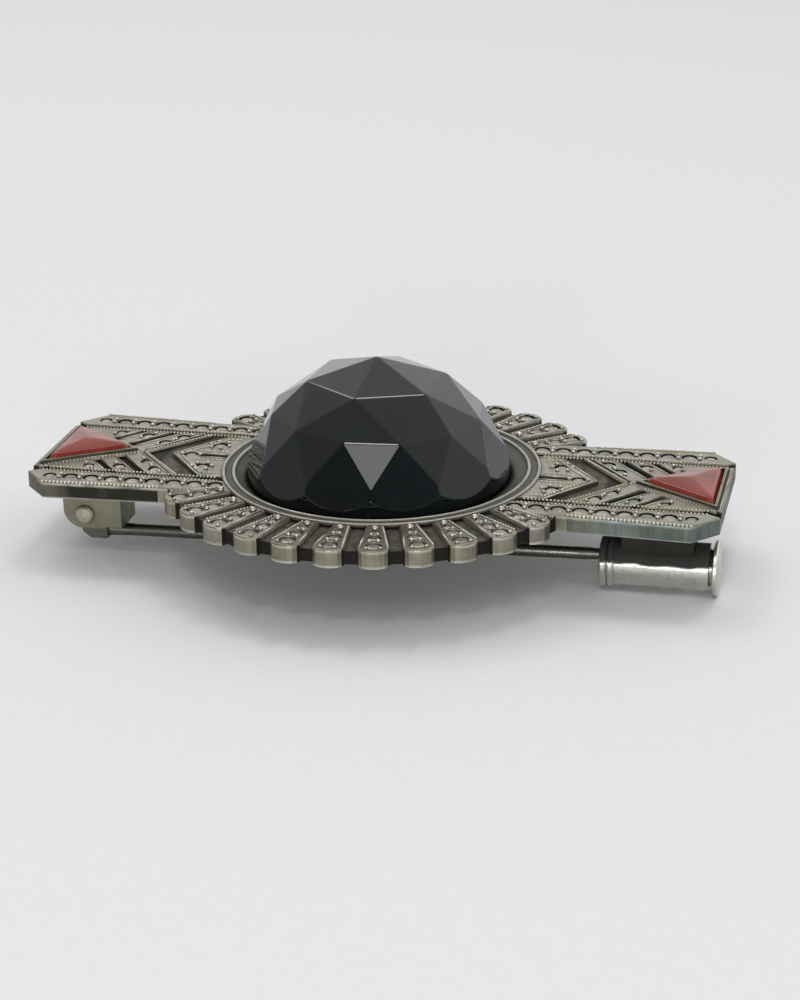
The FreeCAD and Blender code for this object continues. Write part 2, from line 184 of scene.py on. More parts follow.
# ---- wear and tarnish of the cast plate ---------------------------------------------------------
class PlatePoint:
    """Measures of a point on the plate that its rubbing, tarnish and painted light follow."""

    def __init__(self, n):
        place = n.split(n.places["Object"])
        normals = n.add("NewGeometry").outputs
        flat = n.add("CombineXYZ", {0: place["X"], 1: place["Y"]}).outputs[0]
        outward = n.vector_math("NORMALIZE", flat)["Vector"]
        self.x = place["X"]
        self.height = place["Z"]
        self.out = n.vector_math("LENGTH", flat)["Value"]
        self.up = n.split(normals["True Normal"])["Z"]
        self.facing_out = n.vector_math("DOT_PRODUCT", outward, normals["Normal"])["Value"]
        self.on_wall = n.span(n.size_of(self.up), 0.2, 0.5, 1.0, 0.0)
        self.in_medallion = n.math("LESS_THAN", n.size_of(place["X"]), ARM_START_X)
        self.on_long_edge = n.math("GREATER_THAN", n.size_of(place["Y"]), ARM_START_HALF - 0.3 * MM)
        self.on_arm_wall = n.times(self.on_wall, n.math("GREATER_THAN", self.out, RAY_TIP_R + 0.1 * MM))
        self.towards_catch = n.span(self.x, 12 * MM, 20 * MM)


def floor_polish(n, at):
    """Rubbing hardly reaches the relief's floor, a little more of it in the medallion."""
    upward = n.span(at.up, 0.3, 0.9)
    lift = n.span(at.height, FLOOR_Z + 0.02 * MM, FACE_Z - 0.09 * MM)
    reached = n.span(at.out, RAY_TIP_R, RAY_TIP_R + 0.3 * MM, 0.34, 0.06)
    patches = n.span(n.noise(1700, 3.0), 0.35, 0.6, 0.45, 1.1)
    return n.without(n.times(upward, n.without(lift), n.without(n.times(reached, patches))))


def notch_painted_shade(n, at):
    """Painted shade: the notches between the rays lie deep in shade, so their walls are painted black."""
    off_bottom = n.size_of(n.math("SUBTRACT", at.out, NOTCH_R))
    return n.times(n.math("LESS_THAN", off_bottom, 0.06 * MM), at.in_medallion, at.on_wall)


def flank_painted_shade(n, at):
    """Painted shade: past the bottom of the notches, the flanks of a ray's tip are painted darker the
    further they turn from facing outwards.
    """
    past_bottom = n.math("GREATER_THAN", at.out, NOTCH_R + 0.03 * MM)
    return n.times(past_bottom, at.in_medallion, at.on_wall, n.span(at.facing_out, 0.35, 0.85, 1.0, 0.0))


def arm_wall_painted_light_and_filing(n, at):
    """Painted reflection on the long walls: dark cloudy patches, lighter towards the catch, and a painted
    highlight along the foot of the wall; files left upright lines.
    """
    # painted reflection: dark cloudy patches on the long walls
    dark_reflection_clouds = n.span(n.noise(150, 3.0, 0.55, stretch=(1.0, 1.0, 0.6)), 0.42, 0.64, 0.04, 0.55)
    filed = n.span(n.noise(2600, 1.0, 0.5, stretch=(1.0, 1.0, 0.03)), 0.35, 0.65, 0.88, 1.10)
    # painted highlight along the foot of the wall
    wall_foot_highlight = n.span(at.height, BACK_Z + 0.10 * MM, BACK_Z + 0.26 * MM, 1.0, 0.0)
    # painted reflection: the wall is lighter towards the catch
    catch_side_painted_light = n.times(at.towards_catch, 0.45)
    wall_light_and_filing = n.larger(n.times(n.math("ADD", dark_reflection_clouds, catch_side_painted_light), filed), wall_foot_highlight)
    return n.math("ADD", n.times(at.on_arm_wall, wall_light_and_filing), n.without(at.on_arm_wall))


def edge_wear_and_highlight(n, at, painted_dark_share):
    """The upper edges of the outermost walls are rubbed bright in patches, and their lower edges get a
    painted highlight in the same patches; neither reaches the painted shade of the notches and flanks.
    """
    # painted highlight: the rounded lower edge, lit from the floor
    lower_edge_highlight = n.span(at.height, BACK_Z + 0.05 * MM, BACK_Z + 0.24 * MM, 1.0, 0.0)
    upper_edge = n.span(at.height, FACE_Z - 0.34 * MM, FACE_Z - 0.12 * MM)
    patches = n.span(n.noise(700, 3.0), 0.3, 0.6, 0.25, 0.8)
    near_edge = n.larger(lower_edge_highlight, upper_edge)
    return n.times(at.on_long_edge, at.on_wall, near_edge, n.without(painted_dark_share), patches)


def plate_wear_and_painted_light(n, wear_and_painted_light):
    """Shares of bright metal, of rubbed and highlit edge and of the catch-side wall's painted bluish
    reflection at every point of the plate; the first also carries the painted shade of the notches and
    flanks and the painted light of the arm walls.
    """
    at = PlatePoint(n)
    notches = notch_painted_shade(n, at)
    flanks = flank_painted_shade(n, at)
    edge_wear_and_sheen = edge_wear_and_highlight(n, at, n.larger(notches, flanks))
    wear_and_painted_light = n.times(wear_and_painted_light, floor_polish(n, at), n.without(notches), n.without(flanks), arm_wall_painted_light_and_filing(n, at))
    back_polish = n.span(at.up, -0.9, -0.6, 0.9, 0.0)
    wear_and_painted_light = n.larger(n.larger(wear_and_painted_light, edge_wear_and_sheen), back_polish)
    return wear_and_painted_light, edge_wear_and_sheen, n.times(at.on_arm_wall, at.towards_catch)


# ---- materials ------------------------------------------------------------------------------------
EDGE_RUBBED_AND_HIGHLIT = (0.66, 0.65, 0.60, 1)                              # colour of metal rubbed bare, and of the painted highlight on the lower wall edges
CATCH_WALL_REFLECTION_TINT = (0.76, 0.92, 1.06, 1)                                    # painted bluish reflection on the catch-side wall
YELLOWED, CLEAN = (0.96, 0.93, 0.84, 1), (1.0, 1.0, 0.99, 1)     # ends of the cloudy tint of all silver


def rolled_polish(n):
    """The hollows of the bezel keep their tarnish and the rolled crests are rubbed bright."""
    height = n.split(n.places["Object"])["Z"]
    return n.span(height, FACE_Z, FACE_Z + 0.12 * MM, 0.30, 1.0)


def free_side_painted_reflection(n):
    """Painted reflection: the side that faces the plate is painted dark, as the dark underside above would
    be mirrored in it, up to a ragged border.
    """
    up = n.split(n.add("NewGeometry").outputs["Normal"])["Z"]
    ragged = n.span(n.noise(900, 3.0, 0.5, stretch=(0.25, 1.0, 1.0)), 0.3, 0.7, -0.18, 0.18)
    return n.span(n.math("ADD", up, ragged), 0.16, 0.34, 1.0, 0.05)


def silver(name, light, dark, recess, rough, soft_edges=0.0, contrast=(0.35, 0.92),
           plate=False, rolled=False, polished_with_painted_top=False):
    """Silver: bright where it is rubbed, dark with patina in the recesses, with fine scratches; on the
    plate and on the catch's polished pieces, painted light and shade are mixed in.
    """
    n = new_material(name)
    blotch = n.noise(420, 5.0, 0.6)
    grain = n.noise(5200, 4.0, 0.65)
    scratches = n.noise(2600, 2.0, 0.5, stretch=(0.12, 1.0, 1.0))
    wear_and_painted_light = n.times(n.span(n.openness(recess), *contrast), n.span(blotch, 0.3, 0.62, 0.72, 1.0),
                   n.span(grain, 0.34, 0.46, 0.75, 1.0))
    if rolled:
        wear_and_painted_light = n.times(wear_and_painted_light, rolled_polish(n))
    # painted reflection: the side towards the plate is darkened
    if polished_with_painted_top:
        wear_and_painted_light = n.times(wear_and_painted_light, free_side_painted_reflection(n))
    if plate:
        wear_and_painted_light, edge_wear_and_sheen, catch_wall_reflection = plate_wear_and_painted_light(n, wear_and_painted_light)
    colour = n.mix(wear_and_painted_light, (*dark, 1), (*light, 1))
    # painted highlight on the lower wall edges and painted bluish reflection on the catch-side wall
    if plate:
        colour = n.mix(edge_wear_and_sheen, colour, EDGE_RUBBED_AND_HIGHLIT)
        colour = n.mix(catch_wall_reflection, colour, n.mix(1.0, colour, CATCH_WALL_REFLECTION_TINT, "MULTIPLY"))
    tint = n.mix(n.span(n.noise(330, 3.0), 0.35, 0.65), YELLOWED, CLEAN)
    colour = n.mix(1.0, colour, tint, "MULTIPLY")
    roughness = n.math("ADD", n.span(wear_and_painted_light, 0.0, 1.0, 0.7, rough), n.span(grain, 0.3, 0.7, -0.05, 0.12))
    softened = n.add("Bevel", {"Radius": soft_edges}, samples=4).outputs["Normal"] if soft_edges else None
    height = n.math("ADD", n.math("ADD", grain, scratches), blotch)
    relief = n.bump(height, 0.12 if polished_with_painted_top else 0.35, 0.03 * MM, softened)
    return n.set(Base_Color=colour, Roughness=roughness, Metallic=n.span(wear_and_painted_light, 0.0, 0.5, 0.35, 1.0),
                 Normal=relief, Specular_IOR_Level=0.25)


def marcasite():
    """Pyrite: grey metallic lustre with a faint warm tone, a little different from stone to stone, and
    painted shade near the seat walls and prongs.
    """
    n = new_material("marcasite_pyrite_and_painted_seat_shade")
    tone = n.noise(600, 1.0)
    pits = n.noise(5200, 3.0)
    colour = n.mix(n.span(tone, 0.35, 0.65), (0.15, 0.145, 0.12, 1), (0.30, 0.29, 0.245, 1))
    # painted shade: nearly black where the seat walls and prongs are close
    colour = n.mix(n.span(n.openness(0.3 * MM), 0.3, 0.75), (0.03, 0.027, 0.02, 1), colour)
    return n.set(Base_Color=colour, Roughness=n.span(pits, 0.3, 0.7, 0.26, 0.48), Metallic=0.9,
                 Normal=n.bump(pits, 0.35, 0.02 * MM))


def black_stone():
    """Polished black stone with a trace of haze and dust."""
    n = new_material("polished_black_stone")
    haze = n.noise(260, 4.0, 0.6)
    specks = n.span(n.noise(3800, 2.0, 0.7), 0.70, 0.78)
    colour = n.mix(n.span(haze, 0.4, 0.7), (0.0010, 0.0024, 0.0030, 1), (0.0024, 0.0050, 0.0060, 1))
    colour = n.mix(n.times(specks, 0.10), colour, (0.5, 0.5, 0.48, 1))
    return n.set(Base_Color=colour, Roughness=n.span(haze, 0.35, 0.75, 0.04, 0.12), IOR=1.46,
                 Normal=n.bump(n.noise(1500, 2.0), 0.04, 0.01 * MM))


def carnelian():
    """Red-brown cabochon stone: clouded, a little light passes through it."""
    n = new_material("carnelian")
    cloud = n.noise(420, 3.0, 0.55)
    colour = n.mix(n.span(cloud, 0.3, 0.7), (0.14, 0.013, 0.008, 1), (0.25, 0.030, 0.016, 1))
    return n.set(Base_Color=colour, Roughness=n.span(n.noise(2500), 0.3, 0.7, 0.12, 0.26), IOR=1.33,
                 Subsurface_Weight=0.3, Subsurface_Radius=(1.2, 0.25, 0.12), Subsurface_Scale=0.5 * MM,
                 Coat_Weight=0.05, Coat_Roughness=0.06)


MATERIALS = {
    # the face: oxide patina in the hollows, with painted shade in the notches and on the ray flanks, and
    # painted reflection and highlight on the arm walls
    "oxidised_silver": silver("oxidised_silver_face_and_painted_light", light=(0.285, 0.272, 0.222),
                              dark=(0.012, 0.011, 0.008), recess=0.5 * MM, rough=0.28,
                              soft_edges=0.05 * MM, contrast=(0.40, 0.95), plate=True),
    "plain_silver": silver("oxidised_silver_back", light=(0.235, 0.235, 0.185), dark=(0.02, 0.018, 0.014),
                           recess=0.6 * MM, rough=0.36, soft_edges=0.08 * MM),
    # catch saddle: near black for its dark solder and as painted shade under the arm
    "solder_and_shade_silver": silver("solder_and_painted_shade", light=(0.04, 0.038, 0.034), dark=(0.006, 0.005, 0.004),
                          recess=0.6 * MM, rough=0.45),
    "bezel_silver": silver("bezel_silver", light=(0.36, 0.35, 0.31), dark=(0.014, 0.013, 0.010),
                           recess=0.6 * MM, rough=0.26, contrast=(0.30, 0.80), rolled=True),
    "bead_silver": silver("rubbed_silver_beads", light=(0.56, 0.545, 0.475), dark=(0.02, 0.018, 0.014),
                          recess=0.16 * MM, rough=0.26),
    "edge_silver": silver("bright_edge_grains", light=(0.66, 0.65, 0.58), dark=(0.04, 0.036, 0.03),
                          recess=0.12 * MM, rough=0.20),
    "rim_silver": silver("rubbed_silver_rims", light=(0.45, 0.435, 0.375), dark=(0.02, 0.018, 0.014),
                         recess=0.2 * MM, rough=0.26),
    # catch tube, collar and sleeve: polished, with a painted reflection darkening the side towards the
    # plate
    "bright_silver": silver("polished_silver_painted_dark_top", light=(0.72, 0.725, 0.70), dark=(0.012, 0.012, 0.011),
                            recess=0.25 * MM, rough=0.10, soft_edges=0.04 * MM, polished_with_painted_top=True),
    "disc_silver": silver("thumb_disc_silver", light=(0.70, 0.70, 0.64), dark=(0.03, 0.028, 0.024),
                          recess=0.3 * MM, rough=0.22, soft_edges=0.05 * MM),
    "pin_steel": silver("drawn_wire", light=(0.16, 0.16, 0.15), dark=(0.02, 0.018, 0.015),
                        recess=0.3 * MM, rough=0.24),
    "marcasite": marcasite(),
    "black_stone": black_stone(),
    "carnelian": carnelian(),
}


# ---- mesh helpers ---------------------------------------------------------------------------------
def add_piece(name, mesh, material, replaces=()):
    """Piece that rides on the face's body, with its material, hiding the CAD parts it replaces."""
    obj = bpy.data.objects.new(name, mesh)
    bpy.context.collection.objects.link(obj)
    mesh.materials.append(MATERIALS[material])
    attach(obj, FACE_BODY)
    if replaces:
        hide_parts(*replaces)
    return obj


def piece(name, verts, faces, material, replaces=(), smooth=True):
    """Piece from points and faces, with its normals turned outwards."""
    mesh = bpy.data.meshes.new(name)
    mesh.from_pydata([tuple(v) for v in verts], [], faces)
    mesh.validate()
    bm = bmesh.new()
    bm.from_mesh(mesh)
    bmesh.ops.recalc_face_normals(bm, faces=bm.faces)
    bm.to_mesh(mesh)
    bm.free()
    mesh.polygons.foreach_set("use_smooth", [smooth] * len(mesh.polygons))
    add_piece(name, mesh, material, replaces)


def bands(start, count, levels):
    """Quads between neighbouring rings of count points each, the first ring beginning at start."""
    faces = []
    for level in range(levels - 1):
        low = start + level * count
        high = low + count
        for k in range(count):
            m = (k + 1) % count
            faces.append((low + k, low + m, high + m, high + k))
    return faces


def cap(start, count):
    """One face on the ring of count points that begins at start."""
    return tuple(range(start, start + count))


def lathe(profile, steps):
    """Ring from a closed (radius, height) outline turned about +Z."""
    verts, faces = [], []
    count = len(profile)
    for s in range(steps):
        angle = 2 * math.pi * s / steps
        verts += [Vector((r * math.cos(angle), r * math.sin(angle), h)) for r, h in profile]
    for s in range(steps):
        a, b = s * count, (s + 1) % steps * count
        for k in range(count):
            m = (k + 1) % count
            faces.append((a + k, b + k, b + m, a + m))
    return verts, faces


def four_ways(start, end):
    """A line on one quarter of the bar, and its mirror images on all four."""
    for x_sign in (-1, 1):
        for y_sign in (-1, 1):
            yield (x_sign * start[0], y_sign * start[1]), (x_sign * end[0], y_sign * end[1])


def in_mm(*numbers):
    """Millimetres turned into the scene's metres."""
    return [number * MM for number in numbers]


def separate_stones(node):
    """Centre and half-width of every separate stone of a CAD node."""
    bm = bmesh.new()
    bm.from_mesh(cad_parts[node].data)
    bmesh.ops.remove_doubles(bm, verts=bm.verts, dist=0.002 * MM)
    seen, found = set(), []
    for vert in bm.verts:
        if vert in seen:
            continue
        stack, group = [vert], []
        seen.add(vert)
        while stack:
            v = stack.pop()
            group.append(v.co.copy())
            for edge in v.link_edges:
                other = edge.other_vert(v)
                if other not in seen:
                    seen.add(other)
                    stack.append(other)
        xs, ys = [c.x for c in group], [c.y for c in group]
        centre = Vector(((min(xs) + max(xs)) / 2, (min(ys) + max(ys)) / 2))
        found.append((centre, (max(ys) - min(ys)) / 2))
    bm.free()
    return found


def ray_directions():
    """Unit vectors along and across every ray, from its outermost marcasite."""
    directions = []
    for node in ("marcasites_front_rays", "marcasites_rear_rays"):
        for centre, _ in separate_stones(node):
            if centre.length > 0.9 * RAY_TIP_R:
                angle = math.atan2(centre.y, centre.x)
                along = Vector((math.cos(angle), math.sin(angle)))
                directions.append((along, Vector((-along.y, along.x))))
    return directions


RAYS = ray_directions()


# ---- beads and milgrain -----------------------------------------------------------------------------
class BeadField:
    """Many little domes of metal, gathered into one mesh."""
    AROUND = 8
    LEVELS = (-0.35, 0.25, 0.75)      # heights of a dome's rings as shares of its radius

    def __init__(self):
        self.verts = []
        self.faces = []

    def add(self, x, y, z, radius):
        """One dome, whose sphere has its centre at (x, y, z)."""
        start = len(self.verts)
        for level in self.LEVELS:
            r = radius * math.sqrt(1 - level * level)
            for k in range(self.AROUND):
                angle = 2 * math.pi * (k + 0.5 * (level > 0)) / self.AROUND
                self.verts.append((x + r * math.cos(angle), y + r * math.sin(angle), z + radius * level))
        top = len(self.verts)
        self.verts.append((x, y, z + radius))
        self.faces += bands(start, self.AROUND, len(self.LEVELS))
        last = top - self.AROUND
        for k in range(self.AROUND):
            self.faces.append((last + k, last + (k + 1) % self.AROUND, top))
        self.faces.append(cap(start, self.AROUND))

    def line(self, start, end, spacing, radius, z=GRAIN_Z):
        """Row of beads between two (x, y) points."""
        count = max(2, round(math.dist(start, end) / spacing) + 1)
        for k in range(count):
            t = k / (count - 1)
            self.add(start[0] + (end[0] - start[0]) * t, start[1] + (end[1] - start[1]) * t, z, radius)

    def lines(self, start, end, spacing, radius):
        """The same row on all four quarters of the bar."""
        for near, far in four_ways(start, end):
            self.line(near, far, spacing, radius)


def make_edge_grains():
    """Bright rubbed grains along the long edges of the arms."""
    beads = BeadField()
    start = (ARM_START_X + 0.9 * MM, edge_half(ARM_START_X) - 0.07 * MM)
    end = (CLIP_X, edge_half(CLIP_X) - 0.10 * MM)
    beads.lines(start, end, 0.32 * MM, 0.145 * MM)
    piece("edge_grains", beads.verts, beads.faces, "edge_silver")


def make_milgrain():
    """Rows of fine grains along the borders, the ribbons, the arrowheads and the rays."""
    beads = BeadField()
    size, gap = 0.12 * MM, 0.30 * MM
    for y, start_x in ((BORDER_Y + 0.14 * MM, 12.2 * MM), (FIELD_Y - 0.14 * MM, 12.6 * MM)):
        beads.lines((start_x, y), (HALF_LENGTH - 1.1 * MM, y), gap, size)
    beads.lines((RIBBON_START_X + 0.15 * MM, FIELD_Y - 0.4 * MM), (CROSS_X, 0.0), gap, size)
    beads.lines((CROSS_X, 0.0), (HALF_LENGTH - 0.6 * MM, FIELD_Y - 0.25 * MM), gap, size - 0.01 * MM)
    arrowhead = ((13.3, 0.95, 15.5, 0.95), (13.0, 4.0, 13.7, 4.0), (16.6, 0.6, 14.1, 4.0))
    for run in arrowhead:
        start_x, start_y, end_x, end_y = in_mm(*run)
        beads.lines((start_x, start_y), (end_x, end_y), 0.36 * MM, 0.13 * MM)
    for along, across in RAYS:
        # one edge of each ray, mirrored between the left and the right half
        side = math.copysign(1, along.x)
        start = along * (RING_R + 0.35 * MM) + across * side * (RAY_ROOT_HALF - 0.08 * MM)
        end = along * (RAY_TIP_R - 0.9 * MM) + across * side * (RAY_TIP_HALF - 0.12 * MM)
        beads.line(start, end, gap, size, FACE_Z)
    piece("milgrain", beads.verts, beads.faces, "bead_silver")


RAY_PRONGS = (           # distance from the middle, distance to the side of the ray's line, size (mm)
    (14.72, 0.24, 0.15), (16.12, 0.34, 0.19), (17.55, 0.55, 0.16))


def make_prongs():
    """The bright beads that hold the marcasites."""
    beads = BeadField()
    z = FACE_Z + 0.02 * MM
    for along, across in RAYS:
        beads.add(*(along * (RING_R + 0.62 * MM)), z, 0.29 * MM)
        for radius, gap, size in RAY_PRONGS:
            for side in (-1, 1):
                beads.add(*((along * radius + across * side * gap) * MM), z, size * MM)
    for node in ("marcasites_left_border", "marcasites_right_border"):
        for y_sign in (-1, 1):
            row = [centre for centre, _ in separate_stones(node) if centre.y * y_sign > 0]
            row.sort(key=lambda centre: centre.x)
            for a, b in zip(row, row[1:]):
                middle = (a + b) / 2
                for side in (-1, 1):
                    beads.add(middle.x, middle.y + side * 0.30 * MM, z, 0.19 * MM)
    for node in ("marcasites_left_field", "marcasites_right_field"):
        for centre, half in separate_stones(node):
            add_field_prongs(beads, centre, half + 0.22 * MM, z)
    piece("prong_beads", beads.verts, beads.faces, "bead_silver")


def add_field_prongs(beads, centre, reach, z):
    """Six prongs round a stone of an arrowhead, and two for any other stone of the inner fields."""
    off_middle = abs(centre.y) > 0.1 * MM
    first = -math.copysign(math.radians(50), centre.x * centre.y) if off_middle else 0.0
    count = 6 if off_middle and abs(centre.x) < ARROW_X - 1.0 * MM else 2
    for k in range(count):
        angle = first + 2 * math.pi * k / count
        beads.add(centre.x + reach * math.cos(angle), centre.y + reach * math.sin(angle), z, 0.17 * MM)


# ---- rims of the relief -----------------------------------------------------------------------------
class RimField:
    """Low rounded wires along the edges of the relief, gathered into one mesh."""
    HALF, RISE, BASE_Z = 0.075 * MM, 0.07 * MM, FACE_Z - 0.01 * MM
    SECTION = ((1.0, -0.4), (0.95, 0.3), (0.45, 1.0), (-0.45, 1.0), (-0.95, 0.3), (-1.0, -0.4))

    def __init__(self):
        self.verts = []
        self.faces = []

    def line(self, start, end):
        """Wire between two (x, y) points."""
        a, b = Vector(start), Vector(end)
        across = (b - a).normalized().orthogonal() * self.HALF
        first, count = len(self.verts), len(self.SECTION)
        for end_point in (a, b):
            for side, up in self.SECTION:
                p = end_point + across * side
                self.verts.append((p.x, p.y, self.BASE_Z + self.RISE * up))
        self.faces += bands(first, count, 2)
        self.faces += [cap(first, count), cap(first + count, count)]


def stripe_runs():
    """Edges of the slanting stripes between the arrowhead and the ribbon, down to the ribbon."""
    runs = []
    lean = (CROSS_X - RIBBON_START_X) / FIELD_Y
    slope = (FIELD_Y - 0.1 * MM) / (HALF_LENGTH - 0.35 * MM - CROSS_X)
    for x_top in in_mm(16.42, 18.18, 19.32, 20.88, 21.82):
        y = slope * (x_top + lean * FIELD_Y - CROSS_X) / (1 + slope * lean) + 0.3 * MM
        if y < FIELD_Y - 0.5 * MM:
            top = (x_top + lean * 0.15 * MM, FIELD_Y - 0.15 * MM)
            runs.append((top, (x_top + lean * (FIELD_Y - y), y)))
    return runs


def make_rims():
    """Rubbed rims of the arrowheads, stripes and triangles on the arms, and of the rays."""
    rims = RimField()
    edge_y = FIELD_Y - 0.4 * MM
    groove_y = 0.42 * MM
    end_x = HALF_LENGTH - 0.22 * MM
    arrowhead = [((ARROW_X - 0.15 * MM, 0.0), (14.05 * MM, edge_y)),
                 ((ARROW_X - 0.75 * MM, 0.0), (13.6 * MM, edge_y - 0.25 * MM)),
                 ((11.9 * MM, edge_y), (13.9 * MM, edge_y)),
                 ((12.9 * MM, groove_y), (15.1 * MM, groove_y))]
    triangle = [((CROSS_X + 0.35 * MM, 0.0), (HALF_LENGTH - 0.5 * MM, FIELD_Y - 0.6 * MM)),
                ((end_x, 0.0), (end_x, FIELD_Y - 0.1 * MM))]
    for start, end in arrowhead + triangle + stripe_runs():
        for near, far in four_ways(start, end):
            rims.line(near, far)
    for along, across in RAYS:
        for side in (-1, 1):
            rims.line(along * (RING_R + 0.2 * MM) + across * side * (RAY_ROOT_HALF - 0.1 * MM),
                      along * (RAY_TIP_R - 0.75 * MM) + across * side * (RAY_TIP_HALF - 0.13 * MM))
    piece("relief_rims", rims.verts, rims.faces, "rim_silver")


# ---- marcasites -------------------------------------------------------------------------------------
CROWN_SIDES = 12
CROWN_RINGS = (          # share of the reach, drop below the table's plane in mm, how six-sided
    (0.97, 0.45, 0.0), (0.97, 0.20, 0.0), (0.88, 0.135, 0.3), (0.66, 0.07, 0.8), (0.50, 0.045, 1.0))
CROWN_HALF = 0.6         # half-width in mm of the stone that the drops are drawn for


def make_marcasites(node):
    """Low six-sided crowns with a flat table, sunk in their round seats and each tipped its own way."""
    verts, faces = [], []
    for number, (centre, half) in enumerate(separate_stones(node)):
        reach = half + 0.2 * SEAT_GAP
        turn = 0.6 * number
        tip = Vector((math.cos(2.4 * number), math.sin(2.4 * number))) * 0.02
        start = len(verts)
        for share, drop, six in CROWN_RINGS:
            for k in range(CROWN_SIDES):
                angle = turn + 2 * math.pi * k / CROWN_SIDES
                r = reach * share * (1.0 if k % 2 == 0 else 1.0 - 0.11 * six)
                x, y = r * math.cos(angle), r * math.sin(angle)
                lean = (tip.x * x + tip.y * y) if drop < 0.1 else 0.0
                z = FACE_Z + 0.02 * MM - drop * half / CROWN_HALF + lean
                verts.append((centre.x + x, centre.y + y, z))
        faces += bands(start, CROWN_SIDES, len(CROWN_RINGS))
        faces += [cap(start, CROWN_SIDES), cap(len(verts) - CROWN_SIDES, CROWN_SIDES)]
    piece(node + "_crowns", verts, faces, "marcasite", replaces=(node,), smooth=False)


# ---- large stones and the bezel -----------------------------------------------------------------------
def ring_points(radius, height, count, first):
    step = 2 * math.pi / count
    return [Vector((radius * math.cos(first + k * step), radius * math.sin(first + k * step), height))
            for k in range(count)]


def facet_planes():
    """Three points on every facet of the rose cut, round a middle at x = 0."""
    turn = math.radians(25.0)
    apex = Vector((0, 0, APEX_Z))
    inner = ring_points(5.7 * MM, FACE_Z + 7.66 * MM, 6, turn)
    middle = ring_points(8.65 * MM, FACE_Z + 5.0 * MM, 12, turn)
    outer = ring_points(10.3 * MM, FACE_Z + 1.75 * MM, 12, turn + math.radians(15))
    for point in inner + middle:
        point.z -= 0.03 * point.x     # the crown leans a little towards the catch
    planes = [(apex, inner[k - 1], inner[k]) for k in range(6)]
    planes += [(inner[k - 1], middle[2 * k - 1], inner[k]) for k in range(6)]
    for k in range(6):
        planes.append((inner[k], middle[2 * k - 1], middle[2 * k]))
        planes.append((inner[k], middle[2 * k], middle[(2 * k + 1) % 12]))
    for k in range(12):
        planes.append((middle[k - 1], outer[k - 1], middle[k]))
        planes.append((outer[k - 1], outer[k], middle[k]))
    return planes


def make_centre_stone():
    """Rose-cut dome: a round blank with one cut for each facet, and softly polished arrises."""
    bm = bmesh.new()
    bmesh.ops.create_cone(bm, cap_ends=True, segments=144, radius1=STONE_R, radius2=STONE_R,
                          depth=APEX_Z - stone_low.z,
                          matrix=Matrix.Translation((0, 0, (APEX_Z + stone_low.z) / 2)))
    for a, b, c in facet_planes():
        normal = (b - a).cross(c - a).normalized()
        if normal.z < 0:
            normal = -normal
        geometry = bm.verts[:] + bm.edges[:] + bm.faces[:]
        cut = bmesh.ops.bisect_plane(bm, geom=geometry, plane_co=a, plane_no=normal,
                                     clear_outer=True, dist=1e-8)
        rim = [e for e in cut["geom_cut"] if isinstance(e, bmesh.types.BMEdge)]
        if rim:
            bmesh.ops.contextual_create(bm, geom=rim)
    bmesh.ops.remove_doubles(bm, verts=bm.verts, dist=0.06 * MM)
    bmesh.ops.recalc_face_normals(bm, faces=bm.faces)
    bmesh.ops.translate(bm, verts=bm.verts, vec=(STONE_X, 0, 0))
    mesh = bpy.data.meshes.new("rose_cut_stone")
    bm.to_mesh(mesh)
    bm.free()
    stone = add_piece("rose_cut_stone", mesh, "black_stone", replaces=("centre_stone",))
    bevel = stone.modifiers.new("polished_arrises", "BEVEL")
    bevel.width = 0.10 * MM
    bevel.segments = 3
    bevel.limit_method = "ANGLE"
    bevel.angle_limit = math.radians(7)


def rounded_triangle(corners, radius, arc_steps, side_steps):
    """Outline of a triangle with rounded corners, its sides divided evenly."""
    outline = []
    for k in range(3):
        before, here, after = corners[k - 1], corners[k], corners[(k + 1) % 3]
        to_before, to_after = (before - here).normalized(), (after - here).normalized()
        half = to_before.angle(to_after) / 2
        centre = here + (to_before + to_after).normalized() * radius / math.sin(half)
        start = here + to_before * radius / math.tan(half)
        end = here + to_after * radius / math.tan(half)
        for s in range(arc_steps + 1):
            direction = (start - centre).lerp(end - centre, s / arc_steps).normalized()
            outline.append(centre + direction * radius)
        next_half = (here - after).angle(corners[(k + 2) % 3] - after) / 2
        goal = after + (here - after).normalized() * radius / math.tan(next_half)
        for s in range(1, side_steps):
            outline.append(end.lerp(goal, s / side_steps))
    return outline


def make_cabochon(side):
    """Triangular stone with a hipped, swelling top."""
    node = side + "_cabochon"
    low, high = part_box(node)
    sign = 1 if high.x > 0 else -1
    tip_x, base_x = (low.x, high.x) if sign > 0 else (high.x, low.x)
    base_x -= sign * 0.12 * MM
    corners = [Vector((tip_x, 0)), Vector((base_x, -sign * high.y)), Vector((base_x, sign * high.y))]
    outline = rounded_triangle(corners, 0.35 * MM, 5, 14)
    peak = Vector((tip_x + (base_x - tip_x) * 0.66, 0))
    rim_z, top_z = FACE_Z + 0.12 * MM, high.z - 0.02 * MM
    inward = (0.0, 0.012, 0.03, 0.055, 0.085, 0.12, 0.16, 0.21, 0.28, 0.37, 0.48, 0.6, 0.72, 0.84, 0.94)
    verts = [(p.x, p.y, low.z) for p in outline]
    for t in inward:
        shoulder = 1 - math.exp(-(t / 0.075) ** 1.8)
        swell = 1 - (1 - t) ** 1.4
        z = rim_z + (top_z - rim_z) * (0.52 * shoulder + 0.48 * swell)
        for p in outline:
            q = peak.lerp(p, 1 - t)
            verts.append((q.x, q.y, z))
    top = len(verts)
    verts.append((peak.x, peak.y, top_z))
    count = len(outline)
    faces = bands(0, count, len(inward) + 1)
    last = top - count
    for k in range(count):
        faces.append((last + k, last + (k + 1) % count, top))
    faces.append(cap(0, count))
    piece(side + "_carnelian", verts, faces, "carnelian", replaces=(node,))


